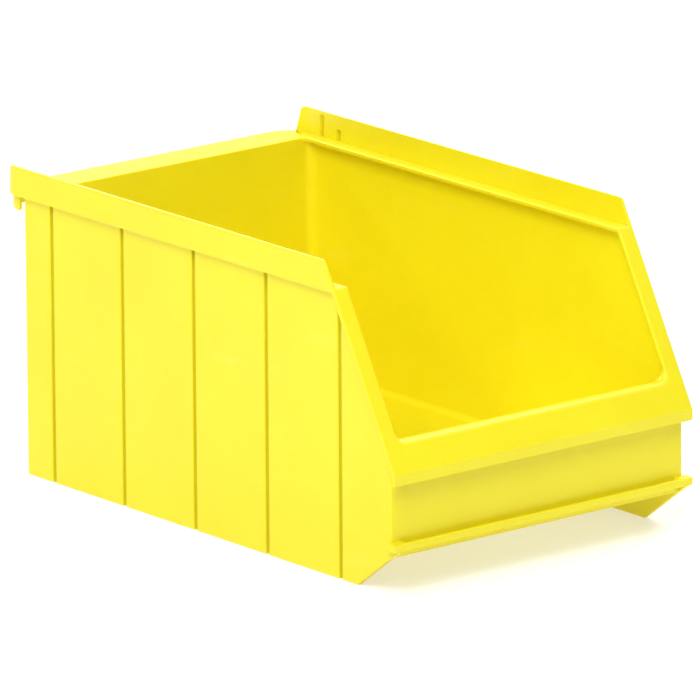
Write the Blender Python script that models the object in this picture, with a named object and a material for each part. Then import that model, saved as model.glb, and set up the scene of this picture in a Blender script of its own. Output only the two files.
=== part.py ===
"""Open-fronted stacking bin, moulded in one piece, built here as its separate walls, rims, lips and runners.

Metres, +Z up. X runs across the bin, the open mouth faces -Y, and the origin is on the ground under
the middle of the whole outline. The members meet at hairline seams, where the real moulding is solid.
"""

import math

import bmesh
import bpy

# Overall size
LENGTH = 0.240
WIDTH = 0.146
HEIGHT = 0.122

# Plastic and seams
WALL = 0.002
SEAM = 0.0003

# Stacking rim: an upstand round a ledge that carries the runners of the bin above
RIM_WALL = 0.0015
STACK_DEPTH = 0.0102
STACK_CLEARANCE = 0.0002
LEDGE_WIDTH = 0.0055
LEDGE_WALL = 0.0015
RIM_WRAP_ANGLE = math.radians(35)

# Notches moulded into the inner face of each rim: (distance ahead of the rear wall, height)
RIM_NOTCHES = ((0.0055, 0.0084), (0.0159, 0.0044))
NOTCH_WIDTH = 0.002
NOTCH_DEPTH = 0.0007

# Base: a floor carried on two thin runners with raked toes
FLOOR_RISE = 0.0146
TOE_RUN = 0.0198

# Mouth: a flat flange that slopes from the rim's front corner down to the label lip, rolled over at the sill
LIP_RISE = 0.0473
MOUTH_SETBACK = 0.0408
FLANGE_WIDTH = 0.007
FLANGE_WALL = 0.002
SILL_DEPTH = 0.0140
SILL_ROLL_RADIUS = 0.004
SILL_SKIRT = 0.003

# Label holder: a recessed panel between a lip above and a slotted ledge below
LABEL_RECESS = 0.0042
LIP_DROP = 0.0043
LABEL_LEDGE_TOP = 0.0207
LABEL_LEDGE_HEIGHT = 0.0031
LABEL_SLOT_FRONT_WALL = 0.0012
LABEL_SLOT_DEPTH = 0.0019
LABEL_SLOT_END = 0.006

# Rear flange with a turned-down lip, for hanging the bin on a rail
REAR_OVERHANG = 0.0143
REAR_CORNER_RADIUS = 0.012
HOOK_INSET = 0.0013
HOOK_WALL = 0.0018
HOOK_DROP = 0.0058

# Vertical grooves down each side
GROOVE_COUNT = 5
GROOVE_PITCH = 0.0436
GROOVE_START = 0.0174
GROOVE_WIDTH = 0.0024
GROOVE_DEPTH = 0.0007

ARC_STEP = math.radians(10)
CUTTER_MARGIN = 0.003

# Planes that several members share
FRONT = -LENGTH / 2
REAR = LENGTH / 2
HALF_WIDTH = WIDTH / 2
PANEL_FACE = FRONT + LABEL_RECESS
REAR_FACE = REAR - REAR_OVERHANG
RIM_INNER = HALF_WIDTH - RIM_WALL
SIDE_OUTER = RIM_INNER - STACK_CLEARANCE
SIDE_INNER = SIDE_OUTER - WALL
LEDGE_TOP = HEIGHT - STACK_DEPTH
RIM_BOTTOM = LEDGE_TOP - LEDGE_WALL
MOUTH_LENGTH = math.hypot(MOUTH_SETBACK, HEIGHT - LIP_RISE)
MOUTH_SINE = MOUTH_SETBACK / MOUTH_LENGTH
MOUTH_COSINE = (HEIGHT - LIP_RISE) / MOUTH_LENGTH
MOUTH_LEAN = math.atan2(MOUTH_SETBACK, HEIGHT - LIP_RISE)

PLASTIC_COLOR = (0.930, 0.800, 0.040, 1.0)
PLASTIC_ROUGHNESS = 0.42


def clear_scene():
    for item in list(bpy.data.objects):
        bpy.data.objects.remove(item, do_unlink=True)


def new_collection(name):
    collection = bpy.data.collections.new(name)
    bpy.context.scene.collection.children.link(collection)
    return collection


def plastic(name):
    """A member's own copy of the bin's yellow plastic."""
    material = bpy.data.materials.new(name)
    material.use_nodes = True
    surface = material.node_tree.nodes["Principled BSDF"]
    surface.inputs["Base Color"].default_value = PLASTIC_COLOR
    surface.inputs["Roughness"].default_value = PLASTIC_ROUGHNESS
    surface.inputs["Metallic"].default_value = 0.0
    return material


def mouth_point(down, inward):
    """(y, z) at a distance down the sloping mouth from the rim's front corner, and inward from its plane."""
    y = FRONT + MOUTH_SETBACK - MOUTH_SINE * down + MOUTH_COSINE * inward
    z = HEIGHT - MOUTH_COSINE * down - MOUTH_SINE * inward
    return (y, z)


def mouth_at_height(z, inward):
    down = (HEIGHT - z - MOUTH_SINE * inward) / MOUTH_COSINE
    return mouth_point(down, inward)


def mouth_at_y(y, inward):
    down = (FRONT + MOUTH_SETBACK + MOUTH_COSINE * inward - y) / MOUTH_SINE
    return mouth_point(down, inward)


def arc(center, radius, start, end):
    """Points along an arc, both ends included, at even steps no wider than ARC_STEP."""
    steps = max(1, math.ceil(abs(end - start) / ARC_STEP))
    angles = [start + (end - start) * index / steps for index in range(steps + 1)]
    return [(center[0] + radius * math.cos(a), center[1] + radius * math.sin(a)) for a in angles]


def slab(name, outline, thickness, collection):
    """A closed outline in local XY, filled and made thick along local Z, as a welded mesh object."""
    curve = bpy.data.curves.new(name + "_outline", "CURVE")
    curve.dimensions = "2D"
    curve.fill_mode = "BOTH"
    curve.extrude = thickness / 2
    spline = curve.splines.new("POLY")
    spline.points.add(len(outline) - 1)
    for point, place in zip(spline.points, outline):
        point.co = (place[0], place[1], 0.0, 1.0)
    spline.use_cyclic_u = True
    guide = bpy.data.objects.new(name + "_outline", curve)
    collection.objects.link(guide)
    bpy.context.view_layer.update()
    evaluated = guide.evaluated_get(bpy.context.evaluated_depsgraph_get())
    mesh = bpy.data.meshes.new_from_object(evaluated)
    bpy.data.objects.remove(guide, do_unlink=True)
    mesh.name = name
    welded = bmesh.new()
    welded.from_mesh(mesh)
    bmesh.ops.remove_doubles(welded, verts=welded.verts, dist=0.000001)
    bmesh.ops.recalc_face_normals(welded, faces=welded.faces)
    welded.to_mesh(mesh)
    welded.free()
    item = bpy.data.objects.new(name, mesh)
    collection.objects.link(item)
    return item


def side_slab(name, outline, low_x, high_x, collection):
    """A slab whose outline is given in (y, z) and whose thickness runs from low_x to high_x."""
    item = slab(name, outline, high_x - low_x, collection)
    item.rotation_euler = (math.pi / 2, 0.0, math.pi / 2)
    item.location.x = (low_x + high_x) / 2
    return item


def plan_slab(name, outline, low_z, high_z, collection):
    """A slab whose outline is given in (x, y) and whose thickness runs from low_z to high_z."""
    item = slab(name, outline, high_z - low_z, collection)
    item.location.z = (low_z + high_z) / 2
    return item


def box(name, low, high, collection):
    """A block between two opposite corners."""
    bpy.ops.mesh.primitive_cube_add(size=1.0)
    item = bpy.context.object
    item.name = name
    item.data.name = name
    for owner in list(item.users_collection):
        owner.objects.unlink(item)
    collection.objects.link(item)
    size = [top - bottom for bottom, top in zip(low, high)]
    for vertex in item.data.vertices:
        vertex.co = [value * length for value, length in zip(vertex.co, size)]
    item.location = [(bottom + top) / 2 for bottom, top in zip(low, high)]
    return item


def cut(item, cutter):
    """Takes the cutter's shape out of the item."""
    cutter.hide_render = True
    cutter.display_type = "WIRE"
    boolean = item.modifiers.new("cut_" + cutter.name, "BOOLEAN")
    boolean.operation = "DIFFERENCE"
    boolean.solver = "EXACT"
    boolean.object = cutter


def across(side, near, far):
    """The (low, high) x of a member that lies between two distances from the middle, on one side."""
    return (near, far) if side > 0 else (-far, -near)


def groove_cutters(side, name, collection):
    """One block for each vertical groove, all as tall as the bin."""
    low_x, high_x = across(side, SIDE_OUTER - GROOVE_DEPTH, SIDE_OUTER + CUTTER_MARGIN)
    cutters = []
    for index in range(GROOVE_COUNT):
        middle = REAR_FACE - GROOVE_START - GROOVE_PITCH * index
        low = (low_x, middle - GROOVE_WIDTH / 2, -CUTTER_MARGIN)
        high = (high_x, middle + GROOVE_WIDTH / 2, HEIGHT)
        cutters.append(box(f"{name}_groove_cutter_{index + 1}", low, high, collection))
    return cutters


def side_wall(side, name, parts):
    """The flat side, cut back along the mouth under its flange, with a gusset that carries the toe on to the ledge."""
    inward = FLANGE_WALL + SEAM
    top = RIM_BOTTOM - SEAM
    gusset_top = LABEL_LEDGE_TOP - LABEL_LEDGE_HEIGHT - SEAM
    gusset_reach = (gusset_top - FLOOR_RISE) * TOE_RUN / FLOOR_RISE
    outline = [
        (REAR_FACE, FLOOR_RISE),
        (REAR_FACE, top),
        mouth_at_height(top, inward),
        mouth_at_y(PANEL_FACE, inward),
        (PANEL_FACE, gusset_top),
        (PANEL_FACE - gusset_reach, gusset_top),
        (PANEL_FACE, FLOOR_RISE),
    ]
    return side_slab(name, outline, *across(side, SIDE_INNER, SIDE_OUTER), parts)


def runner(side, name, parts):
    """The side carried on down to the ground, with a toe raked up to the front panel."""
    top = FLOOR_RISE - SEAM
    toe_top = PANEL_FACE + TOE_RUN * SEAM / FLOOR_RISE
    outline = [
        (REAR_FACE, 0.0),
        (REAR_FACE, top),
        (toe_top, top),
        (PANEL_FACE + TOE_RUN, 0.0),
    ]
    return side_slab(name, outline, *across(side, SIDE_INNER, SIDE_OUTER), parts)


def floor_panel(parts):
    half = SIDE_INNER - SEAM
    low = (-half, PANEL_FACE + WALL + SEAM, FLOOR_RISE)
    high = (half, REAR_FACE - WALL - SEAM, FLOOR_RISE + WALL)
    return box("floor_panel", low, high, parts)


def rear_wall(parts):
    half = SIDE_INNER - SEAM
    low = (-half, REAR_FACE - WALL, FLOOR_RISE)
    high = (half, REAR_FACE, RIM_BOTTOM - SEAM)
    return box("rear_wall", low, high, parts)


def front_label_panel(parts):
    """The recessed upright that the label lies against, its top edge tucked up under the sloping sill."""
    half = SIDE_INNER - SEAM
    inward = FLANGE_WALL + SEAM
    outline = [
        (PANEL_FACE, FLOOR_RISE),
        (PANEL_FACE + WALL, FLOOR_RISE),
        mouth_at_y(PANEL_FACE + WALL, inward),
        mouth_at_y(PANEL_FACE, inward),
    ]
    return side_slab("front_label_panel", outline, -half, half, parts)


def stacking_rim(side, name, parts, cutters, mouth_cutter):
    """The upstand: straight along the side, then part of the way round the rear corner."""
    center = (HALF_WIDTH - REAR_CORNER_RADIUS, REAR - REAR_CORNER_RADIUS)
    outer = arc(center, REAR_CORNER_RADIUS, 0.0, RIM_WRAP_ANGLE)
    inner = arc(center, REAR_CORNER_RADIUS - RIM_WALL, RIM_WRAP_ANGLE, 0.0)
    outline = [(HALF_WIDTH, FRONT)] + outer + inner + [(RIM_INNER, FRONT)]
    item = plan_slab(name, [(side * x, y) for x, y in outline], RIM_BOTTOM, HEIGHT, parts)
    cut(item, mouth_cutter)
    low_x, high_x = across(side, RIM_INNER - CUTTER_MARGIN, RIM_INNER + NOTCH_DEPTH)
    for index, (ahead, height) in enumerate(RIM_NOTCHES):
        middle = REAR_FACE - ahead
        low = (low_x, middle - NOTCH_WIDTH / 2, LEDGE_TOP)
        high = (high_x, middle + NOTCH_WIDTH / 2, LEDGE_TOP + height)
        cut(item, box(f"{name}_notch_cutter_{index + 1}", low, high, cutters))
    return item


def stacking_ledge(side, name, parts):
    """The shelf inside the rim, from the mouth back to the rear flange."""
    outline = [
        (REAR_FACE - WALL - SEAM, RIM_BOTTOM),
        (REAR_FACE - WALL - SEAM, LEDGE_TOP),
        mouth_at_height(LEDGE_TOP, 0.0),
        mouth_at_height(RIM_BOTTOM, 0.0),
    ]
    return side_slab(name, outline, *across(side, RIM_INNER - LEDGE_WIDTH, RIM_INNER - SEAM), parts)


def mouth_flange(side, name, parts):
    """One sloping upright of the mouth, flat and square-edged."""
    top = RIM_BOTTOM - SEAM
    outline = [
        mouth_at_height(top, 0.0),
        mouth_at_height(top, FLANGE_WALL),
        mouth_point(MOUTH_LENGTH, FLANGE_WALL),
        mouth_point(MOUTH_LENGTH, 0.0),
    ]
    return side_slab(name, outline, *across(side, HALF_WIDTH - FLANGE_WIDTH, HALF_WIDTH), parts)


def front_sill(parts):
    """The sloping bottom of the mouth, rolled over at the top into a short upright skirt inside the bin."""
    half = HALF_WIDTH - FLANGE_WIDTH - SEAM
    down, inward = MOUTH_LENGTH - SILL_DEPTH + SILL_ROLL_RADIUS, SILL_ROLL_RADIUS
    center = mouth_point(down, inward)
    outside = arc(center, SILL_ROLL_RADIUS, math.pi - MOUTH_LEAN, 0.0)
    inside = arc(center, SILL_ROLL_RADIUS - FLANGE_WALL, 0.0, math.pi - MOUTH_LEAN)
    skirt_end = center[1] - SILL_SKIRT
    outline = [mouth_point(MOUTH_LENGTH, 0.0)] + outside
    outline += [(outside[-1][0], skirt_end), (inside[0][0], skirt_end)]
    outline += inside + [mouth_point(MOUTH_LENGTH, FLANGE_WALL)]
    return side_slab("front_sill", outline, -half, half, parts)


def label_top_lip(parts):
    """The upright strip that turns down from the mouth and holds a label's top edge."""
    back_y, back_z = mouth_point(MOUTH_LENGTH, FLANGE_WALL)
    outline = [
        (FRONT, LIP_RISE - LIP_DROP),
        (FRONT, LIP_RISE - SEAM),
        (back_y, back_z - SEAM),
        (back_y, LIP_RISE - LIP_DROP),
    ]
    return side_slab("label_top_lip", outline, -HALF_WIDTH, HALF_WIDTH, parts)


def label_bottom_ledge(parts, cutters):
    """The ledge that a label stands in: a bar with a slot along its back, closed at both ends."""
    bottom = LABEL_LEDGE_TOP - LABEL_LEDGE_HEIGHT
    back = PANEL_FACE - SEAM
    item = box(
        "label_bottom_ledge",
        (-HALF_WIDTH, FRONT, bottom),
        (HALF_WIDTH, back, LABEL_LEDGE_TOP),
        parts,
    )
    slot_half = HALF_WIDTH - LABEL_SLOT_END
    low = (-slot_half, FRONT + LABEL_SLOT_FRONT_WALL, LABEL_LEDGE_TOP - LABEL_SLOT_DEPTH)
    high = (slot_half, back + CUTTER_MARGIN, LABEL_LEDGE_TOP + CUTTER_MARGIN)
    cut(item, box("label_slot_cutter", low, high, cutters))
    return item


def rear_hanging_flange(parts):
    """The plate behind the rear wall, its corners rounded, stepped in where the rims wrap round it."""
    center = (HALF_WIDTH - REAR_CORNER_RADIUS, REAR - REAR_CORNER_RADIUS)
    seam_angle = RIM_WRAP_ANGLE + SEAM / REAR_CORNER_RADIUS
    inside = arc(center, REAR_CORNER_RADIUS - RIM_WALL - SEAM, 0.0, seam_angle)
    outside = arc(center, REAR_CORNER_RADIUS, seam_angle, math.pi / 2)
    half = [(RIM_INNER - SEAM, REAR_FACE - WALL)] + inside + outside
    outline = half + [(-x, y) for x, y in reversed(half)]
    return plan_slab("rear_hanging_flange", outline, RIM_BOTTOM, LEDGE_TOP, parts)


def rear_hook_lip(parts):
    """The straight run of the lip that hooks over a rail."""
    half = HALF_WIDTH - REAR_CORNER_RADIUS - SEAM / 2
    outer = REAR - HOOK_INSET
    top = RIM_BOTTOM - SEAM
    low = (-half, outer - HOOK_WALL, top - HOOK_DROP)
    return box("rear_hook_lip", low, (half, outer, top), parts)


def hook_corner(side, name, parts):
    """The lip carried round one rear corner, from just behind the rear wall."""
    center = (HALF_WIDTH - REAR_CORNER_RADIUS, REAR - REAR_CORNER_RADIUS)
    radius = REAR_CORNER_RADIUS - HOOK_INSET
    first = math.asin(max(0.0, REAR_FACE + SEAM - center[1]) / (radius - HOOK_WALL))
    last = math.pi / 2 - SEAM / 2 / radius
    outline = arc(center, radius, first, last)
    outline += arc(center, radius - HOOK_WALL, last, first)
    top = RIM_BOTTOM - SEAM
    return plan_slab(name, [(side * x, y) for x, y in outline], top - HOOK_DROP, top, parts)


def mouth_cutter(cutters):
    """Everything in front of the sloping mouth."""
    outline = [
        mouth_point(-CUTTER_MARGIN, 0.0),
        mouth_point(MOUTH_LENGTH, 0.0),
        mouth_point(MOUTH_LENGTH, -MOUTH_SETBACK * 2),
        mouth_point(-CUTTER_MARGIN, -MOUTH_SETBACK * 2),
    ]
    half = HALF_WIDTH + CUTTER_MARGIN
    return side_slab("mouth_cutter", outline, -half, half, cutters)


def build():
    clear_scene()
    parts = new_collection("stackable_storage_bin")
    cutters = new_collection("cutters")
    before_mouth = mouth_cutter(cutters)
    floor_panel(parts)
    rear_wall(parts)
    front_label_panel(parts)
    front_sill(parts)
    label_top_lip(parts)
    label_bottom_ledge(parts, cutters)
    rear_hanging_flange(parts)
    rear_hook_lip(parts)
    for side, word in ((-1, "left"), (1, "right")):
        grooved = [side_wall(side, word + "_side_wall", parts), runner(side, word + "_runner", parts)]
        for cutter in groove_cutters(side, word, cutters):
            for item in grooved:
                cut(item, cutter)
        stacking_rim(side, word + "_stacking_rim", parts, cutters, before_mouth)
        stacking_ledge(side, word + "_stacking_ledge", parts)
        mouth_flange(side, word + "_mouth_flange", parts)
        hook_corner(side, word + "_hook_corner", parts)
    for item in parts.objects:
        item.data.materials.clear()
        item.data.materials.append(plastic(item.name + "_plastic"))


build()
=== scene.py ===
"""Finished look of an open-fronted stacking bin in yellow polypropylene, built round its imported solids.

Metres, +Z up; the open mouth faces -Y. The bin is one moulding: each member below is its own closed surface,
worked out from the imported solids' corners, and neighbours meet flush so that their joins don't show.
"""

import math

import bmesh
import bpy
import numpy as np
from mathutils import Matrix, Vector


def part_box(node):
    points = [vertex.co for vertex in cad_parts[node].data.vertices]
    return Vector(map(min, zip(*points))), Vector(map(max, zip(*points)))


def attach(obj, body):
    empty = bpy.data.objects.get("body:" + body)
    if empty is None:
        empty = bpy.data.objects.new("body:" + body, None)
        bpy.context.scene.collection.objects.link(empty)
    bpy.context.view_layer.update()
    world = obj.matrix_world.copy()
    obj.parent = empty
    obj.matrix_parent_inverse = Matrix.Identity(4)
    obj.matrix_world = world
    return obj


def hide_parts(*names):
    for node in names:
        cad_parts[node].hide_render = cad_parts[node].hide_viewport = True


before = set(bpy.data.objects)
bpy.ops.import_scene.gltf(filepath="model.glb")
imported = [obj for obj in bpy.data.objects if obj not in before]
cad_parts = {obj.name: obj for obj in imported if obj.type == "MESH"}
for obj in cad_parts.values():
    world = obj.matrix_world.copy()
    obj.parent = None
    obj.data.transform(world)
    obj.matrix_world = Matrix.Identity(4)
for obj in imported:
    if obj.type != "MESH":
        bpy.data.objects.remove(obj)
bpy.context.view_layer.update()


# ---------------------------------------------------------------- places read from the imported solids

def corners_of(node):
    """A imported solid's lowest and highest corners."""
    low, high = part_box(node)
    return np.array(low, float), np.array(high, float)


WALL_LOW, WALL_HIGH = corners_of("right_side_wall")
PANEL_LOW, PANEL_HIGH = corners_of("front_label_panel")
REAR_LOW, REAR_HIGH = corners_of("rear_wall")
FLOOR_LOW, FLOOR_HIGH = corners_of("floor_panel")
RIM_LOW, RIM_HIGH = corners_of("right_stacking_rim")
LEDGE_LOW, LEDGE_HIGH = corners_of("right_stacking_ledge")
FLANGE_LOW, FLANGE_HIGH = corners_of("right_mouth_flange")
LIP_LOW, LIP_HIGH = corners_of("label_top_lip")
SHELF_LOW, SHELF_HIGH = corners_of("label_bottom_ledge")
HOOK_LOW, HOOK_HIGH = corners_of("rear_hook_lip")
SILL_HIGH = corners_of("front_sill")[1]
HANGER_HIGH = corners_of("rear_hanging_flange")[1]
RUNNER_POINTS = np.array([vertex.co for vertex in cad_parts["right_runner"].data.vertices])

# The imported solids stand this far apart; the members here close the gap.
SEAM = 0.0003
HALF_WIDTH = FLANGE_HIGH[0]
FRONT = LIP_LOW[1]
REAR = HANGER_HIGH[1]
HEIGHT = RIM_HIGH[2]
SIDE_INNER, SIDE_OUTER = WALL_LOW[0], WALL_HIGH[0]
PANEL_FACE, PANEL_BACK = PANEL_LOW[1], PANEL_HIGH[1]
REAR_INNER, REAR_FACE = REAR_LOW[1], REAR_HIGH[1]
FLOOR_UNDER, FLOOR_TOP = FLOOR_LOW[2], FLOOR_HIGH[2]
RIM_BOTTOM, LEDGE_TOP, LEDGE_INNER = LEDGE_LOW[2], LEDGE_HIGH[2], LEDGE_LOW[0]
REAR_CORNER = HALF_WIDTH - HOOK_HIGH[0] - SEAM / 2
LIP_RISE = LIP_HIGH[2] + SEAM

# The mouth is a plane that leans back from the lip, through the front end of each rim's bottom edge.
MOUTH_LEAN = math.atan2(RIM_LOW[1] - FRONT, RIM_LOW[2] - LIP_RISE)
MOUTH_SINE, MOUTH_COSINE = math.sin(MOUTH_LEAN), math.cos(MOUTH_LEAN)
MOUTH_LENGTH = (HEIGHT - LIP_RISE) / MOUTH_COSINE
MOUTH_TOP_Y = FRONT + (HEIGHT - LIP_RISE) * math.tan(MOUTH_LEAN)
FLANGE_WALL = (LIP_HIGH[1] - FRONT) / MOUTH_COSINE
FLANGE_INNER = FLANGE_LOW[0]

# ---------------------------------------------------------------- sizes of the moulded detail

GROOVE_COUNT = 5
GROOVE_PITCH = 0.0436
GROOVE_START = 0.0174
GROOVE_WIDTH = 0.0027
GROOVE_DEPTH = 0.0014
GROOVE_FLANK = 0.0006

FRONT_EDGE = 0.0010
REAR_EDGE = 0.0016
TOE_EDGE = FRONT_EDGE * 0.9
SOLE_EDGE = 0.00035
INNER_REAR_FILLET = 0.0040
INNER_FRONT_FILLET = 0.0030
WALL_TURN = 0.0060

RIM_TOP_WALL = 0.0011
RIM_FOOT_WALL = 0.0015
RIM_OUTER_EDGE = 0.0008
RIM_INNER_EDGE = 0.00025
RIM_END = 0.0005
RIM_END_LEAN = math.radians(12)
RIM_END_DROP = 0.0022
RIM_WRAP = math.radians(35)
# Each notch's distance ahead of the rear wall's face, and its height above the ledge.
RIM_NOTCHES = ((0.0055, 0.0084), (0.0159, 0.0044))
NOTCH_WIDTH = 0.0023
NOTCH_DEPTH = 0.0009
NOTCH_WALL = 0.00015

LEDGE_EDGE = 0.0005
LEDGE_CORNER = 0.0020
MOUTH_EDGE = 0.0006
FLANGE_INNER_EDGE = 0.0009
HANGER_EDGE = 0.0006
HOOK_EDGE = 0.0006
HOOK_END = 0.0005

ROLL_RADIUS = 0.0040
ROLL_CORNER = 0.0042
ROLL_SKIRT = 0.0030
ROLL_TURN_BLEND = 0.75
ROLL_BACK_SPREAD = 0.0004

LIP_BEND = 0.0010
LIP_BEND_REACH = 0.0006
LIP_EDGE = 0.00045
LIP_BACK_EDGE = LIP_EDGE * 0.8
LIP_END = 0.0006

SHELF_EDGE = 0.0004
SHELF_SLOT_END = 0.006
SHELF_SLOT_WALL = 0.0012
SHELF_SLOT_DEPTH = 0.0019
SHELF_SLOT_EDGE = SHELF_EDGE * 0.6

# Shells that run into each other overlap by EMBED; points nearer than MERGE are one point.
EMBED = 0.0002
MERGE = 1e-7
TOLERANCE = 1e-6
TINY = 1e-9
SHARP_ANGLE = math.radians(32)

# Points and steps round each kind of curve, and the shares of a curve at which two of them begin and end.
ARC_POINTS = 8
END_STEPS = 6
GROOVE_SAMPLES = 9
FILLET_STEPS = 9
RIM_TURN_STEPS = 9
RIM_DROP_STEPS = 5
RIM_DROP_LAST = 0.3
FREE_TURN_STEPS = 15
HOOK_TURN_STEPS = 14
HOOK_TURN_FIRST = 0.12
SKIRT_STEPS = 7
SILL_TURN_STEPS = 15

# ---------------------------------------------------------------- places worked out from both

GROOVE_MIDDLES = REAR_FACE - GROOVE_START - GROOVE_PITCH * np.arange(GROOVE_COUNT)
TURNED = SIDE_INNER - WALL_TURN
TOE_Y = RUNNER_POINTS[RUNNER_POINTS[:, 2] < SOLE_EDGE][:, 1].min()
TOE_SLOPE = (TOE_Y - PANEL_FACE) / FLOOR_UNDER
# Where the side wall's level top meets its sloping one.
KINK_Y = FRONT + FLANGE_WALL / 2 / MOUTH_COSINE + (RIM_BOTTOM - LIP_RISE) * math.tan(MOUTH_LEAN)

# Distances down the sloping mouth from its top corner, and the x of the sill plate's end.
ROLL_START = (HEIGHT - MOUTH_SINE * ROLL_RADIUS - (SILL_HIGH[2] - ROLL_RADIUS)) / MOUTH_COSINE - ROLL_RADIUS
PLATE_END = MOUTH_LENGTH - LIP_BEND_REACH
CORNER_DOWN = ROLL_START - ROLL_CORNER
PLATE_EDGE_X = FLANGE_INNER + FLANGE_INNER_EDGE

# ---------------------------------------------------------------- the plastic's colours and texture

PLASTIC_LIGHT = (0.875, 0.775, 0.0110, 1.0)
PLASTIC_DEEP = (0.855, 0.742, 0.0080, 1.0)
PLASTIC_PALE = (0.890, 0.820, 0.0700, 1.0)
# A dark yellow painted into the grooves and notches as painted shade.
PLASTIC_PAINTED_SHADE = (0.52, 0.43, 0.0100, 1.0)
PLASTIC_SHADER = {
    "IOR": 1.49,
    "Specular IOR Level": 0.36,
    "Metallic": 0.0,
    "Coat Weight": 0.14,
    "Coat Roughness": 0.22,
}
ROUGHNESS = 0.42
# How far the grooves and notches are mixed towards that dark yellow: painted shade.
PAINTED_SHADE_AMOUNT = 0.7
SCUFF_HEIGHT = 0.004

# What coordinates are multiplied by: for marks that run level, and for scratches that run front to rear.
DRAWN_LEVEL = (0.35, 0.35, 2.2)
DRAWN_BACK = (1.0, 0.08, 1.0)

# Noises: scale, detail, roughness.
CLOUD = (22.0, 4.0, 0.55)
FLOW = (48.0, 3.0, 0.6)
FLECK = (900.0, 2.0, 0.6)
SCRATCH = (1500.0, 3.0, 0.7)
HANDLING = (60.0, 5.0, 0.62)
GRAIN = (1150.0, 4.0, 0.70)
RIPPLE = (150.0, 2.0, 0.5)

# Ranges: the two ends read from a noise or mask, and what they become.
CLOUD_TINT = (0.35, 0.68, 0.0, 1.0)
FLOW_TINT = (0.62, 0.78, 0.0, 0.35)
FLECK_TINT = (0.55, 0.75, 0.0, 0.22)
SCRATCH_MASK = (0.48, 0.60, 0.0, 1.0)
SCUFF_TINT = (0.0, 1.0, 0.0, 0.30)
# Painted shade in the grooves and notches.
PAINTED_SHADE_TINT = (0.0, 1.0, 0.0, PAINTED_SHADE_AMOUNT)
HANDLING_ROUGHNESS = (0.3, 0.7, ROUGHNESS - 0.05, ROUGHNESS + 0.05)
FLECK_ROUGHNESS = (0.3, 0.7, -0.03, 0.03)
SCUFF_ROUGHNESS = (0.0, 1.0, 0.0, 0.18)

# Bumps: strength, height in metres.
GRAIN_BUMP = (0.55, 0.00020)
RIPPLE_BUMP = (0.5, 0.00004)

# ---------------------------------------------------------------- the studio's numbers

CAMERA_AZIMUTH = math.radians(-39.08)
CAMERA_ELEVATION = math.radians(15.07)
CAMERA_ROLL = math.radians(-0.352)
CAMERA_DISTANCE = 4.299
CAMERA_TARGET = Vector((0.00019, -0.00440, 0.05941))
CAMERA_LENS = 580.4
CAMERA_NEAR, CAMERA_FAR = 0.1, 50.0
SENSOR_WIDTH = 36.0

# Soft boxes: name, place, the point it faces, width, height, power in watts.
SOFT_BOXES = (
    ("key_box", (-1.57, -0.94, 0.88), (0.0, 0.0, 0.06), 0.36, 0.36, 3.6),
    ("high_box", (-0.95, -0.68, 1.50), (0.0, 0.0, 0.05), 1.0, 1.0, 27.0),
    ("back_box", (0.10, 1.30, 1.00), (0.0, 0.0, 0.10), 1.2, 0.16, 16.0),
    ("back_low_box", (1.25, 1.55, 0.52), (0.0, 0.0, 0.10), 1.3, 0.5, 2.0),
    ("right_arch_box", (0.98, 0.28, 1.22), (0.0, 0.0, 0.06), 0.6, 1.4, 14.0),
    ("front_right_box", (1.10, -1.41, 0.30), (0.0, 0.0, 0.06), 0.3, 0.3, 2.5),
)
WORLD_LIGHT = 0.22
WORLD_COLOUR = (1.0, 1.0, 1.0, 1.0)

FLOOR_SIZE = 12.0
FLOOR_SHADER = {
    "Roughness": 0.9,
    "Specular IOR Level": 0.1,
    "Emission Color": (1.0, 1.0, 0.99, 1.0),
    "Emission Strength": 0.46,
}
PAPER_TOOTH = (300.0, 2.0, 0.5)
PAPER_SHADE = (0.0, 1.0, 0.60, 0.63)


# ---------------------------------------------------------------- outlines and solids

def outline(corners, radii, insets=0.0, arc_points=ARC_POINTS):
    """Closed counter-clockwise outline: each edge of a polygon moved in by its inset, each corner rounded.

    A corner moves by the vector whose parts along the two edges' inward normals are those edges' insets. An
    arc starts radius * tan(half the turn) before the corner, and its points are the start turned about the
    centre. A convex corner's radius loses the inset of the edge after it, and a concave one gains it.
    """
    corners = np.asarray(corners, float)
    count = len(corners)
    radii = np.broadcast_to(np.asarray(radii, float), (count,))
    insets = np.broadcast_to(np.asarray(insets, float), (count,))
    edge = np.roll(corners, -1, axis=0) - corners
    edge = edge / np.linalg.norm(edge, axis=1)[:, None]
    after = np.stack([-edge[:, 1], edge[:, 0]], axis=1)
    before = np.roll(after, 1, axis=0)
    inset_before = np.roll(insets, 1)
    sine = before[:, 0] * after[:, 1] - before[:, 1] * after[:, 0]
    cosine = (before * after).sum(axis=1)
    straight = np.abs(sine) < TOLERANCE
    safe = np.where(straight, 1.0, sine)
    move = inset_before[:, None] * np.stack([after[:, 1], -after[:, 0]], axis=1)
    move = move + insets[:, None] * np.stack([-before[:, 1], before[:, 0]], axis=1)
    move = np.where(straight[:, None], insets[:, None] * after, move / safe[:, None])
    moved = corners + move
    turn = np.arctan2(sine, cosine)
    side = np.where(turn >= 0, 1.0, -1.0)
    radius = np.where(radii > 0, np.maximum(radii - side * insets, 0.0), 0.0)
    back = np.roll(edge, 1, axis=0)
    start = moved - (radius * np.tan(np.abs(turn) / 2))[:, None] * back
    centre = start + (side * radius)[:, None] * before
    angle = turn[:, None] * np.linspace(0.0, 1.0, arc_points)[None, :]
    spoke = -(side * radius)[:, None] * before
    x = spoke[:, :1] * np.cos(angle) - spoke[:, 1:] * np.sin(angle)
    y = spoke[:, :1] * np.sin(angle) + spoke[:, 1:] * np.cos(angle)
    points = centre[:, None, :] + np.stack([x, y], axis=2)
    kept = (radii > 0)[:, None] | (np.arange(arc_points) == 0)[None, :]
    return points[kept]


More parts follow.
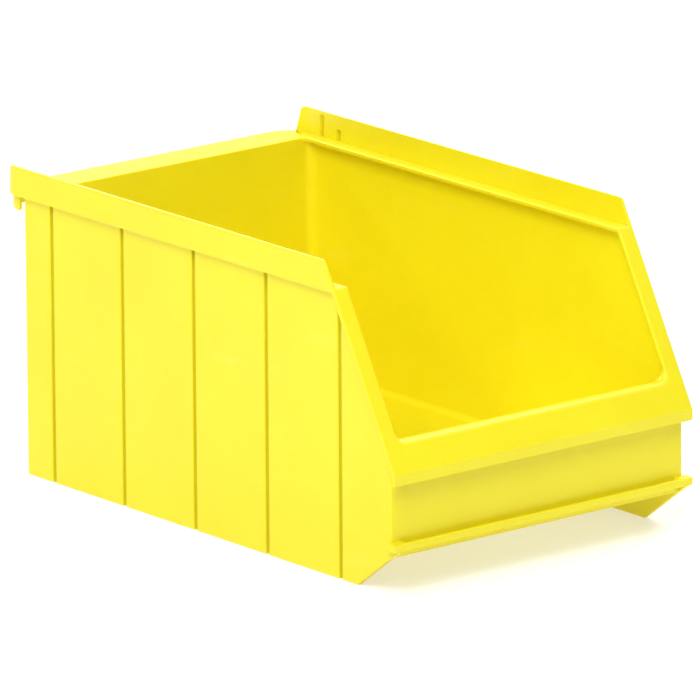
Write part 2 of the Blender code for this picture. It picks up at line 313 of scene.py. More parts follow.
def quarter(radius, steps=END_STEPS):
    """(inset, setback) pairs of a rounded end, from its flat cap to its side: radius * (1 - cos, 1 - sin)."""
    angle = np.linspace(math.pi / 2, 0.0, steps)
    return np.stack([radius * (1 - np.cos(angle)), radius * (1 - np.sin(angle))], axis=1)


def rectangle(low_x, high_x, low_y, high_y):
    """A rectangle's corners, counter-clockwise from its lowest one."""
    return [(low_x, low_y), (high_x, low_y), (high_x, high_y), (low_x, high_y)]


def loft(rings):
    """(vertices, faces) of closed rings joined in order, with a flat face across each end, facing out."""
    rings = np.asarray(rings, float)
    count, size = rings.shape[:2]
    ring = np.arange(count - 1)[:, None] * size
    here = np.arange(size)[None, :]
    following = (here + 1) % size
    quads = np.stack([ring + here, ring + following, ring + size + following, ring + size + here], axis=2)
    quads = quads.reshape(-1, 4)
    faces = quads.tolist()
    faces.append(np.arange(size)[::-1].tolist())
    faces.append((np.arange(size) + (count - 1) * size).tolist())
    vertices = rings.reshape(-1, 3)
    corner = vertices[quads]
    middle = vertices.mean(axis=0)
    first = np.cross(corner[:, 1] - corner[:, 0], corner[:, 2] - corner[:, 0])
    second = np.cross(corner[:, 2] - corner[:, 0], corner[:, 3] - corner[:, 0])
    volume = ((first + second) * (corner[:, 0] - middle)).sum()
    if volume < 0:
        faces = [face[::-1] for face in faces]
    return vertices, faces


def joined(shells):
    """Several closed shells as one list of vertices and faces."""
    vertices = []
    faces = []
    offset = 0
    for points, polygons in shells:
        vertices.append(points)
        faces += [[index + offset for index in polygon] for polygon in polygons]
        offset += len(points)
    return np.concatenate(vertices), faces


def flipped(points):
    """The mirror image of points across the bin's middle plane, x = 0."""
    return points * np.array([-1.0, 1.0, 1.0])


def mirrored(shell, side):
    """The shell itself on the +X side, and its mirror image, turned right side out, on the other."""
    vertices, faces = shell
    if side > 0:
        return vertices, faces
    return flipped(vertices), [face[::-1] for face in faces]


def member(name, shell, material, *nodes):
    """A named piece from a shell: doubles merged, smooth across its rounded edges, flat on its flat faces."""
    vertices, faces = shell
    mesh = bpy.data.meshes.new(name)
    mesh.from_pydata(vertices.tolist(), [], faces)
    cleaned = bmesh.new()
    cleaned.from_mesh(mesh)
    bmesh.ops.remove_doubles(cleaned, verts=cleaned.verts, dist=MERGE)
    cleaned.to_mesh(mesh)
    cleaned.free()
    mesh.shade_smooth()
    mesh.set_sharp_from_angle(angle=SHARP_ANGLE)
    mesh.materials.append(material)
    piece = bpy.data.objects.new(name, mesh)
    bpy.context.scene.collection.objects.link(piece)
    weighted = piece.modifiers.new("flat_faces_stay_flat", "WEIGHTED_NORMAL")
    weighted.keep_sharp = True
    weighted.weight = 100
    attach(piece, "root")
    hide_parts(*nodes)
    return piece


def along_x(section, x):
    """Section points (y, z) placed at x, which is one value or one for each point."""
    return np.stack([np.broadcast_to(x, (len(section),)), section[:, 0], section[:, 1]], axis=1)


def along_y(section, y):
    """Section points (x, z) placed at y, which is one value or one for each point."""
    return np.stack([section[:, 0], np.broadcast_to(y, (len(section),)), section[:, 1]], axis=1)


def along_z(section, z):
    """Section points (x, y) placed at z, which is one value or one for each point."""
    return np.stack([section[:, 0], section[:, 1], np.broadcast_to(z, (len(section),))], axis=1)


def on_mouth(x, down, inward):
    """Points at x, at a distance down the sloping mouth from its top corner and inward from its plane."""
    x, down, inward = np.broadcast_arrays(x, down, inward)
    y = MOUTH_TOP_Y - MOUTH_SINE * down + MOUTH_COSINE * inward
    z = HEIGHT - MOUTH_COSINE * down - MOUTH_SINE * inward
    return np.stack([x, y, z], axis=-1)


def mouth_y(z):
    """y of the mouth's plane at a height."""
    return FRONT + (z - LIP_RISE) * math.tan(MOUTH_LEAN)


def under_flange(y):
    """Height of the middle of the sloping flange's thickness at y."""
    return LIP_RISE + (y - FRONT - FLANGE_WALL / 2 / MOUTH_COSINE) / math.tan(MOUTH_LEAN)


# ---------------------------------------------------------------- the walls

def groove(y):
    """Depth of the side's grooves at y: half a cosine wave down each flank, and level between the flanks."""
    offset = np.abs(y[:, None] - GROOVE_MIDDLES[None, :]).min(axis=1)
    rise = np.clip((GROOVE_WIDTH / 2 - offset) / GROOVE_FLANK, 0.0, 1.0)
    return GROOVE_DEPTH * (0.5 - 0.5 * np.cos(np.pi * rise))


def grooved_run(low_y, high_y):
    """Outer side points (x, y) from front to rear: samples down each flank, and one where the top kinks."""
    flank = np.linspace(GROOVE_WIDTH / 2 - GROOVE_FLANK, GROOVE_WIDTH / 2, GROOVE_SAMPLES)
    across = np.concatenate([-flank[::-1], flank])
    y = np.sort(np.append((GROOVE_MIDDLES[:, None] + across[None, :]).ravel(), KINK_Y))
    y = y[(y > low_y) & (y < high_y)]
    return np.stack([SIDE_OUTER - groove(y), y], axis=1)


def with_grooves(section):
    """Puts the grooves' points into a wall's outline, between its front and rear outer corners."""
    outer = section[:, 0] > SIDE_OUTER - MERGE
    front = np.flatnonzero(outer & (section[:, 1] < 0)).max()
    rear = np.flatnonzero(outer & (section[:, 1] > 0)).min()
    run = grooved_run(section[front, 1], section[rear, 1])
    return np.concatenate([section[: front + 1], run, section[rear:]])


def side_wall(side):
    """One side: a plan outline that turns both corners, carried up from the floor's underside.

    At each point the wall stops under the ledge, or where it meets the middle of the sloping flange, so its
    top is two flat faces that meet in a line across the wall.
    """
    corners = [
        (SIDE_OUTER, PANEL_FACE),
        (SIDE_OUTER, REAR_FACE),
        (TURNED, REAR_FACE),
        (TURNED, REAR_INNER),
        (SIDE_INNER, REAR_INNER),
        (SIDE_INNER, KINK_Y),
        (SIDE_INNER, PANEL_BACK),
        (TURNED, PANEL_BACK),
        (TURNED, PANEL_FACE),
    ]
    radii = [FRONT_EDGE, REAR_EDGE, 0, 0, INNER_REAR_FILLET, 0, INNER_FRONT_FILLET, 0, 0]
    section = with_grooves(outline(corners, radii))
    top = np.minimum(RIM_BOTTOM, under_flange(section[:, 1]))
    vertices, faces = loft([along_z(section, FLOOR_UNDER), along_z(section, top)])
    lid = faces.pop()
    faces.append([index for index in lid if vertices[index, 1] < KINK_Y + MERGE])
    faces.append([index for index in lid if vertices[index, 1] > KINK_Y - MERGE])
    return mirrored((vertices, faces), side)


def runner(side):
    """The side carried down to the ground: a plain grooved outline whose front end is raked into a toe.

    The front corners move back in proportion to the depth below the floor's underside. The sole's edges are
    rounded by drawing the outline in towards its middle.
    """
    levels = [*quarter(SOLE_EDGE), (0.0, FLOOR_UNDER)]
    rings = []
    for inset, height in levels:
        toe = PANEL_FACE + (TOE_Y - PANEL_FACE) * (1 - height / FLOOR_UNDER)
        corners = [(SIDE_OUTER, toe), (SIDE_OUTER, REAR_FACE), (SIDE_INNER, REAR_FACE), (SIDE_INNER, toe)]
        section = with_grooves(outline(corners, [TOE_EDGE, REAR_EDGE, SOLE_EDGE, SOLE_EDGE]))
        middle = np.array([(SIDE_OUTER + SIDE_INNER) / 2, (toe + REAR_FACE) / 2])
        half = np.array([(SIDE_OUTER - SIDE_INNER) / 2, (REAR_FACE - toe) / 2])
        section = middle + (section - middle) * (half - inset) / half
        rings.append(along_z(section, height))
    return mirrored(loft(rings), side)


def rear_wall():
    """The plain rear, between the turned ends of the two sides."""
    section = outline(rectangle(-TURNED, TURNED, REAR_INNER, REAR_FACE), 0.0)
    return loft([along_z(section, FLOOR_UNDER), along_z(section, RIM_BOTTOM)])


def label_panel():
    """The recessed front, between the turned ends of the two sides, running up into the sloping flange."""
    section = outline(rectangle(-TURNED, TURNED, PANEL_FACE, PANEL_BACK), 0.0)
    return loft([along_z(section, FLOOR_UNDER), along_z(section, under_flange(section[:, 1]))])


def floor_tray():
    """The floor with a fillet all round: insets of its outline, whose height falls along a quarter circle."""
    half = SIDE_INNER + EMBED
    corners = rectangle(-half, half, PANEL_BACK - EMBED, REAR_INNER + EMBED)
    radii = [INNER_FRONT_FILLET, INNER_FRONT_FILLET, INNER_REAR_FILLET, INNER_REAR_FILLET]
    rings = [along_z(outline(corners, radii), FLOOR_UNDER)]
    for inset, rise in quarter(INNER_FRONT_FILLET, FILLET_STEPS)[::-1]:
        rings.append(along_z(outline(corners, radii, inset), FLOOR_TOP + rise))
    return loft(rings)


# ---------------------------------------------------------------- the stacking rim and its ledge

def rim_place(offset, z, run):
    """Points at an offset outward from the rim's face, at a height, a distance along its plan line.

    The line runs straight back to the corner's centre, run = 0, and then round the corner: past it the angle
    is the run over the corner's radius.
    """
    offset, z, run = np.broadcast_arrays(offset, z, run)
    angle = np.maximum(run, 0.0) / REAR_CORNER
    centre_x, centre_y = HALF_WIDTH - REAR_CORNER, REAR - REAR_CORNER
    x = centre_x + (REAR_CORNER + offset) * np.cos(angle)
    y = centre_y + (REAR_CORNER + offset) * np.sin(angle) + np.minimum(run, 0.0)
    return np.stack([x, y, z], axis=-1)


def rim_run(y):
    """The run of a place on the straight part of the rim's plan line."""
    return y - (REAR - REAR_CORNER)


def rim_section(inset=0.0):
    """The rim's drafted section, as offsets outward from its face, and heights; its underside isn't inset.

    The inner face has a corner at the ledge and at the two edges of each notch's top.
    """
    tops = [height for _, height in RIM_NOTCHES]
    levels = sorted({0.0, *tops, *[height + NOTCH_WALL for height in tops]}, reverse=True)
    rise = HEIGHT - LEDGE_TOP
    thinner = RIM_FOOT_WALL - RIM_TOP_WALL
    corners = [(-RIM_FOOT_WALL, RIM_BOTTOM), (0.0, RIM_BOTTOM), (0.0, HEIGHT), (-RIM_TOP_WALL, HEIGHT)]
    corners += [(-RIM_FOOT_WALL + thinner * level / rise, LEDGE_TOP + level) for level in levels]
    radii = [0.0, 0.0, RIM_OUTER_EDGE, RIM_INNER_EDGE] + [0.0] * len(levels)
    free = np.array([0.0] + [1.0] * (len(corners) - 1))
    return outline(corners, radii, inset * free)


def rim_front_end():
    """Rings of the rim's rounded front end, which lies in the mouth's plane."""
    rings = []
    for inset, setback in quarter(RIM_END):
        section = rim_section(inset)
        y = mouth_y(section[:, 1]) + setback / MOUTH_COSINE
        rings.append(rim_place(section[:, 0], section[:, 1], rim_run(y)))
    return rings


def rim_notches():
    """Rings through the notches, front one first: points of the inner face sink outward between the walls."""
    plain = rim_section()
    rings = []
    for ahead, height in sorted(RIM_NOTCHES, reverse=True):
        edges = NOTCH_WIDTH / 2 * np.array([-1, -1, 1, 1]) + NOTCH_WALL * np.array([-1, 0, 0, 1])
        inner = (plain[:, 0] < -RIM_TOP_WALL * 0.9) & (plain[:, 1] < LEDGE_TOP + height + NOTCH_WALL / 2)
        inner &= plain[:, 1] > LEDGE_TOP - TOLERANCE
        for place, sunk in zip(REAR_FACE - ahead + edges, (0, 1, 1, 0)):
            offset = plain[:, 0] + NOTCH_DEPTH * sunk * inner
            rings.append(rim_place(offset, plain[:, 1], rim_run(place)))
    return rings


def rim_rear_end():
    """Rings round the rear corner to the rim's leaning end.

    The run falls short by the height above the ledge times the lean's tangent. Over the last stretch the top
    falls along a quarter circle of radius RIM_END_DROP, and the end's edges are rounded.
    """
    plain = rim_section()
    end_run = REAR_CORNER * RIM_WRAP - np.maximum(plain[:, 1] - LEDGE_TOP, 0.0) * math.tan(RIM_END_LEAN)
    rings = []
    for share in np.linspace(0.0, 1.0, RIM_TURN_STEPS)[:-1]:
        rings.append(rim_place(plain[:, 0], plain[:, 1], share * (end_run - RIM_END_DROP)))
    above = np.clip((plain[:, 1] - LEDGE_TOP) / NOTCH_WALL, 0.0, 1.0)
    height = np.clip((plain[:, 1] - LEDGE_TOP) / (HEIGHT - LEDGE_TOP), 0.0, 1.0)
    reach = np.linspace(1.0, RIM_DROP_LAST, RIM_DROP_STEPS)
    reach = np.concatenate([reach, quarter(RIM_INNER_EDGE)[::-1, 1] / RIM_END_DROP])
    for setback in reach * RIM_END_DROP:
        fall = RIM_END_DROP - math.sqrt(max(RIM_END_DROP**2 - (RIM_END_DROP - setback) ** 2, 0.0))
        lap = max(RIM_INNER_EDGE - setback, 0.0)
        inset = RIM_INNER_EDGE - math.sqrt(max(RIM_INNER_EDGE**2 - lap**2, 0.0))
        offset = plain[:, 0] + (rim_section(inset)[:, 0] - plain[:, 0]) * above
        rings.append(rim_place(offset, plain[:, 1] - fall * height, end_run - setback * above))
    return rings


def stacking_rim(side):
    """The upstand: a drafted section carried along the side and part of the way round the rear corner."""
    return mirrored(loft(rim_front_end() + rim_notches() + rim_rear_end()), side)


def stacking_ledge(side):
    """The shelf inside the rim, from the mouth's plane to the rear plate, its inner edge rounded."""
    inner, outer = LEDGE_INNER, HALF_WIDTH - RIM_FOOT_WALL
    deep = outer + RIM_END
    corners = [
        (inner, RIM_BOTTOM),
        (outer, RIM_BOTTOM),
        (deep, RIM_BOTTOM + EMBED),
        (deep, LEDGE_TOP),
        (inner, LEDGE_TOP),
    ]
    radii = [0.0, 0.0, 0.0, 0.0, LEDGE_EDGE]
    free = np.array([0.0, 0.0, 0.0, 1.0, 1.0])
    rings = []
    for inset, setback in quarter(LEDGE_EDGE):
        section = outline(corners, radii, inset * free)
        rings.append(along_y(section, mouth_y(section[:, 1]) + setback / MOUTH_COSINE))
    rings.append(along_y(outline(corners, radii), REAR_INNER - LEDGE_CORNER))
    return mirrored(loft(rings), side)


# ---------------------------------------------------------------- the rear plate and its hooked lip

def circled(angles):
    """Unit vectors (cos, sin) at some angles."""
    return np.stack([np.cos(angles), np.sin(angles)], axis=1)


def plate_edges():
    """(inner, outer, radii): one half of the rear plate's two edges in plan, and the outer one's rounding.

    The inner edge turns out of the ledge in a quarter circle. The outer edge follows the foot of the rim,
    steps out where the rim ends, and goes on round the corner.
    """
    centre = np.array([HALF_WIDTH - REAR_CORNER, REAR - REAR_CORNER])
    start = np.array([[HALF_WIDTH - RIM_FOOT_WALL, REAR_INNER - LEDGE_CORNER]])
    foot = centre + (REAR_CORNER - RIM_FOOT_WALL) * circled(np.linspace(0.0, RIM_WRAP, RIM_TURN_STEPS))
    rounded = centre + REAR_CORNER * circled(np.linspace(RIM_WRAP, math.pi / 2, FREE_TURN_STEPS))
    outer = np.concatenate([start, foot, rounded])
    radii = np.where(np.arange(len(outer)) > len(foot), HANGER_EDGE, 0.0)
    inner = np.array([LEDGE_INNER, REAR_INNER]) - LEDGE_CORNER
    inner = inner + LEDGE_CORNER * circled(np.linspace(0.0, math.pi / 2, len(outer)))
    return inner, outer, radii


def hanging_plate():
    """The plate behind the rear wall, as sections that fan from its inner edge to its outer edge.

    Each section is a nose round the outer edge, a brow over the inner edge and a heel below it. One half's
    sections run from its ledge round its corner, and their mirror images follow in reverse.
    """
    inner, outer, radii = plate_edges()
    outward = outer - np.array([HALF_WIDTH - REAR_CORNER, REAR - REAR_CORNER])
    outward /= np.linalg.norm(outward, axis=1)[:, None]
    toward = outer - inner
    toward /= np.linalg.norm(toward, axis=1)[:, None]

    angle = np.linspace(-math.pi / 2, math.pi / 2, 2 * ARC_POINTS)
    setback = radii[:, None] * (1 - np.cos(angle))
    flat = np.where(angle < 0, RIM_BOTTOM, LEDGE_TOP)
    height = flat + radii[:, None] * (np.sin(angle) - np.sign(angle))
    plan = outer[:, None] - setback[:, :, None] * outward[:, None]
    nose = np.concatenate([plan, height[:, :, None]], axis=2)

    inset, drop = quarter(LEDGE_EDGE, ARC_POINTS).T
    plan = inner[:, None] + inset[None, :, None] * toward[:, None]
    height = np.broadcast_to(LEDGE_TOP - drop, plan.shape[:2])
    brow = np.concatenate([plan, height[:, :, None]], axis=2)
    heel = np.concatenate([inner, np.full((len(inner), 1), RIM_BOTTOM)], axis=1)[:, None]
    rings = np.concatenate([nose, brow, heel], axis=1)
    return loft(np.concatenate([rings, flipped(rings[::-1])]))


def hook_section(inset=0.0):
    """Section of the lip that hooks over a rail, as offsets outward from the bin's edge, and heights."""
    inner, outer = HOOK_LOW[1] - REAR, HOOK_HIGH[1] - REAR
    corners = rectangle(inner, outer, HOOK_LOW[2], RIM_BOTTOM)
    free = np.array([1.0, 1.0, 0.0, 1.0])
    return outline(corners, [HOOK_EDGE, HOOK_EDGE, 0.0, 0.0], inset * free)


def hook_corner(side):
    """The lip round one corner, with a rounded free end beside the bin's wall."""
    rings = []
    for inset, setback in quarter(HOOK_END):
        section = hook_section(inset)
        rings.append(rim_place(section[:, 0], section[:, 1], setback))
    section = hook_section()
    for share in np.linspace(HOOK_TURN_FIRST, 1.0, HOOK_TURN_STEPS):
        rings.append(rim_place(section[:, 0], section[:, 1], share * REAR_CORNER * math.pi / 2))
    return mirrored(loft(rings), side)


def hook_lip():
    """The straight run of the lip, flush with its two corners."""
    section = hook_section() + np.array([REAR, 0.0])
    half = HALF_WIDTH - REAR_CORNER
    return loft([along_x(section, -half), along_x(section, half)])


# ---------------------------------------------------------------- the mouth and the label holder

def mouth_upright(side):
    """One sloping upright: its section (x, inward) carried down the mouth, its long edges rounded.

    The top end is level with the ledge's underside. Below the mouth's corner the strip's inner part gives way
    to the sill's rolled edge, so the second shell is narrower, and its inner edge is square.
    """
    def strip(inner, inner_edge, top, bottom):
        """A shell from one distance down the mouth to another, cut off under the ledge."""
        corners = rectangle(inner, HALF_WIDTH, 0.0, FLANGE_WALL)
        section = outline(corners, [inner_edge, MOUTH_EDGE, MOUTH_EDGE, inner_edge])
        level = (HEIGHT - RIM_BOTTOM - MOUTH_SINE * section[:, 1]) / MOUTH_COSINE
        return loft([on_mouth(section[:, 0], np.maximum(end, level), section[:, 1]) for end in (top, bottom)])

    upper = strip(FLANGE_INNER, FLANGE_INNER_EDGE, 0.0, CORNER_DOWN)
    lower = strip(PLATE_EDGE_X, 0.0, CORNER_DOWN, PLATE_END)
    return mirrored(joined([upper, lower]), side)


def roll_sections():
    """(roll, bullnose): the sill's section across the mouth and at its ends, with the same number of points.

    Both are in (a, b): a is the distance out from the opening's edge, and b is inward from the mouth's plane.
    The roll turns until its skirt stands upright, and the skirt's foot is half round.
    """
    def spoke(angles, radius, centre):
        """Points round a centre, from the one straight in front of it."""
        return centre + radius * np.stack([-np.sin(angles), -np.cos(angles)], axis=1)

    centre = np.array([ROLL_RADIUS, ROLL_RADIUS])
    arc = np.linspace(0.0, math.pi - MOUTH_LEAN, 2 * ARC_POINTS)
    outside = spoke(arc, ROLL_RADIUS, centre)
    inside = spoke(arc[::-1], ROLL_RADIUS - FLANGE_WALL, centre)
    skirt = np.array([MOUTH_COSINE, MOUTH_SINE]) * ROLL_SKIRT
    foot = 0.5 * (outside[-1] + inside[0]) + skirt
    half_wall = 0.5 * (outside[-1] - inside[0])
    bend = np.linspace(0.0, math.pi, SKIRT_STEPS)
    down = skirt / ROLL_SKIRT
    round_foot = foot + np.cos(bend)[:, None] * half_wall + np.sin(bend)[:, None] * down * FLANGE_WALL / 2
    roll = np.concatenate([outside, round_foot, inside])

    edge = FLANGE_INNER_EDGE
    half_turn = np.linspace(0.0, math.pi, 2 * ARC_POINTS)
    nose = spoke(half_turn, FLANGE_WALL / 2, np.array([edge, FLANGE_WALL / 2]))
    nose[:, 0] = edge - edge * np.sin(half_turn)
    count = len(roll) - len(nose)
    spread = np.linspace(edge, edge + ROLL_BACK_SPREAD, count + 1)[1:]
    back = np.stack([spread, np.full(count, FLANGE_WALL)], axis=1)
    return roll, np.concatenate([nose, back])


def rolled_sill():
    """The bottom of the mouth: a plate whose inner edge rolls over into an upright skirt.

    A section is drawn at each place along the opening's edge. At the corners it turns about the corner's
    centre, and blends by a smooth step of the angle, 3 s^2 - 2 s^3, into the upright's half-round edge. Each
    section reaches out to the plate's own edge, which is the nearer of its end and its foot.
    """
    roll, bullnose = roll_sections()
    span = FLANGE_INNER - ROLL_CORNER
    far_corner = math.atan2(PLATE_EDGE_X - span, PLATE_END - CORNER_DOWN)
    bow = np.sort(np.append(np.linspace(0.0, math.pi / 2, SILL_TURN_STEPS), far_corner))
    stops = [(angle, -1) for angle in bow[::-1]] + [(angle, 1) for angle in bow]
    rings = []
    for angle, hand in stops:
        share = min(max((math.pi / 2 - angle) / (math.pi / 2 * ROLL_TURN_BLEND), 0.0), 1.0)
        share = share * share * (3 - 2 * share)
        direction = np.array([math.sin(angle), math.cos(angle)])
        base = np.array([span, CORNER_DOWN]) + ROLL_CORNER * direction
        reach_side = (PLATE_EDGE_X - base[0]) / max(direction[0], TINY)
        reach_foot = (PLATE_END - base[1]) / max(direction[1], TINY)
        reach = min(reach_side, reach_foot)
        blended = bullnose + (roll - bullnose) * share
        section = np.concatenate([[[reach, 0.0]], blended, [[reach, FLANGE_WALL]]])
        in_plate = section[:, 1] <= FLANGE_WALL + TINY
        section[:, 0] = np.where(in_plate, np.minimum(section[:, 0], reach), section[:, 0])
        x = hand * (base[0] + section[:, 0] * direction[0])
        rings.append(on_mouth(x, base[1] + section[:, 0] * direction[1], section[:, 1]))
    return loft(rings)


def label_lip():
    """The strip turned down from the mouth: its section bends from slope to upright, its ends rounded."""
    bottom, back = LIP_LOW[2], LIP_HIGH[1]
    inner = on_mouth(0.0, np.array([MOUTH_LENGTH, PLATE_END]), FLANGE_WALL)[:, 1:]
    outer = on_mouth(0.0, np.array([PLATE_END]), 0.0)[:, 1:]
    corners = [(FRONT, bottom), (back, bottom), inner[0], inner[1], outer[0], (FRONT, LIP_RISE)]
    radii = [LIP_EDGE, LIP_BACK_EDGE, 0.0, 0.0, 0.0, LIP_BEND]
    free = np.array([1.0, 1.0, 0.0, 0.0, 1.0, 1.0])
    rings = []
    for inset, setback in quarter(LIP_END):
        section = outline(corners, radii, inset * free * LIP_EDGE / LIP_END)
        rings.append(along_x(section, -HALF_WIDTH + setback))
    return loft(rings + [flipped(ring) for ring in rings[::-1]])


def shelf_bar(low, high, back):
    """The label ledge's slotted middle, square at its ends, where the solid ends take over."""
    slot = FRONT + SHELF_SLOT_WALL
    bed = high - SHELF_SLOT_DEPTH
    slotted = [(FRONT, low), (back, low), (back, bed), (slot, bed), (slot, high), (FRONT, high)]
    section = outline(slotted, [SHELF_EDGE, 0, 0, SHELF_SLOT_EDGE, SHELF_SLOT_EDGE, SHELF_EDGE])
    half = HALF_WIDTH - SHELF_SLOT_END
    return loft([along_x(section, -half), along_x(section, half)])


def shelf_end(low, high, back):
    """One solid end of the label ledge, its outer end rounded."""
    block = rectangle(FRONT, back, low, high)
    radii = [SHELF_EDGE, 0.0, 0.0, SHELF_EDGE]
    free = np.array([1.0, 0.0, 1.0, 1.0])
    rings = [along_x(outline(block, radii), HALF_WIDTH - SHELF_SLOT_END)]
    for inset, setback in quarter(SHELF_EDGE)[::-1]:
        rings.append(along_x(outline(block, radii, inset * free), HALF_WIDTH - setback))
    return loft(rings)


def shelf_gusset(low):
    """The wedge under one end of the label ledge, whose front edge runs on up the toe's slope."""
    wedge = [
        (PANEL_FACE + TOE_SLOPE * SOLE_EDGE, FLOOR_UNDER - SOLE_EDGE),
        (PANEL_FACE + TOE_SLOPE * SOLE_EDGE, low + EMBED),
        (FRONT + SHELF_EDGE, low + EMBED),
        (PANEL_FACE - TOE_SLOPE * (low - FLOOR_UNDER), low),
    ]
    section = outline(wedge, 0.0)
    return loft([along_x(section, x) for x in (SIDE_INNER, SIDE_OUTER)])


def label_shelf():
    """The ledge below the label: a slotted bar between two solid ends, each on a gusset."""
    low, high, back = SHELF_LOW[2], SHELF_HIGH[2], PANEL_FACE + EMBED
    paired = (shelf_end(low, high, back), shelf_gusset(low))
    shells = [shelf_bar(low, high, back)] + [mirrored(shell, side) for side in (-1, 1) for shell in paired]
    return joined(shells)


# ---------------------------------------------------------------- the plastic

class Shading:
    """Short ways to add nodes to a new material and to link them."""

    def __init__(self, name, settings):
        """A new material whose plain shader sockets hold the settings."""
        self.material = bpy.data.materials.new(name)
        self.material.use_nodes = True
        self.tree = self.material.node_tree
        self.surface = self.tree.nodes["Principled BSDF"]
        for key, value in settings.items():
            self.surface.inputs[key].default_value = value
        self.place = self.node("ShaderNodeTexCoord").outputs["Object"]

    def node(self, kind, **settings):
        """A node of a kind, with some of its properties set."""
        made = self.tree.nodes.new(kind)
        for key, value in settings.items():
            setattr(made, key, value)
        return made

    def feed(self, socket, value):
        """Links an output into a socket, or sets the socket's own number or colour."""
        if isinstance(value, bpy.types.NodeSocket):
            self.tree.links.new(value, socket)
        else:
            socket.default_value = value

    def fed(self, made, output, **values):
        """Feeds a node's named inputs, underscores for spaces, and returns one of its outputs."""
        for key, value in values.items():
            self.feed(made.inputs[key.replace("_", " ")], value)
        return made.outputs[output]

    def drawn(self, scale):
        """Object coordinates, each multiplied by its own number."""
        return self.fed(self.node("ShaderNodeMapping"), "Vector", Vector=self.place, Scale=scale)

    def noise(self, vector, scale, detail, roughness):
        """Noise from 0 to 1."""
        made = self.node("ShaderNodeTexNoise")
        return self.fed(made, "Fac", Vector=vector, Scale=scale, Detail=detail, Roughness=roughness)

    def ranged(self, value, low, high, to_low, to_high):
        """A value carried from one range to another, and held inside it."""
        made = self.node("ShaderNodeMapRange", clamp=True)
        limits = {"From_Min": low, "From_Max": high, "To_Min": to_low, "To_Max": to_high}
        return self.fed(made, "Result", Value=value, **limits)

    def arithmetic(self, operation, first, second=0.0):
        """What a named operation makes of one or two values."""
        made = self.node("ShaderNodeMath", operation=operation)
        for socket, value in zip(made.inputs, (first, second)):
            self.feed(socket, value)
        return made.outputs["Value"]

    def mixed(self, amount, first, second):
        """The first colour, with an amount of the second one mixed in."""
        made = self.node("ShaderNodeMix", data_type="RGBA")
        self.feed(made.inputs["Factor"], amount)
        for key, value in (("A", first), ("B", second)):
            colours = [socket for socket in made.inputs if socket.name == key and socket.type == "RGBA"]
            self.feed(colours[0], value)
        return [socket for socket in made.outputs if socket.type == "RGBA"][0]

    def bump(self, height, strength, distance, **earlier):
        """A normal that follows a height, on top of an earlier normal if there is one."""
        made = self.node("ShaderNodeBump")
        return self.fed(made, "Normal", Height=height, Strength=strength, Distance=distance, **earlier)

    def inside(self, *places):
        """1 where every coordinate lies between its two limits and 0 outside, with edges EMBED wide."""
        mask = None
        for value, low, high in places:
            above = self.ranged(value, low, low + EMBED, 0.0, 1.0)
            below = self.ranged(value, high - EMBED, high, 1.0, 0.0)
            within = self.arithmetic("MULTIPLY", above, below)
            mask = within if mask is None else self.arithmetic("MULTIPLY", mask, within)
        return mask


def painted_shade_mask(shading, outward, y, z):
    """1 in the sides' grooves and in the rims' notches, and 0 elsewhere.

    The colour is painted darker as shade where this is 1. A groove is where the outer face lies deeper than
    the wall's outside by 0.3 of the groove's depth; the sloping mouth's uprights are kept out by their
    distance behind the mouth's plane.
    """
    slope = shading.node("ShaderNodeVectorMath", operation="DOT_PRODUCT")
    shading.feed(slope.inputs[0], shading.place)
    shading.feed(slope.inputs[1], (0.0, MOUTH_COSINE, -MOUTH_SINE))
    mouth = FRONT * MOUTH_COSINE - LIP_RISE * MOUTH_SINE
    mask = shading.inside(
        (outward, SIDE_INNER + EMBED, SIDE_OUTER - 0.3 * GROOVE_DEPTH),
        (slope.outputs["Value"], mouth + 1.2 * FLANGE_WALL, HEIGHT + REAR),
        (y, PANEL_FACE + FRONT_EDGE, REAR_FACE - REAR_EDGE),
        (z, -EMBED, RIM_BOTTOM),
    )
    for ahead, height in RIM_NOTCHES:
        notch = shading.inside(
            (outward, HALF_WIDTH - RIM_FOOT_WALL + 0.8 * NOTCH_DEPTH, HALF_WIDTH - EMBED),
            (y, REAR_FACE - ahead - NOTCH_WIDTH / 2, REAR_FACE - ahead + NOTCH_WIDTH / 2),
            (z, LEDGE_TOP, LEDGE_TOP + height),
        )
        mask = shading.arithmetic("MAXIMUM", mask, notch)
    return mask


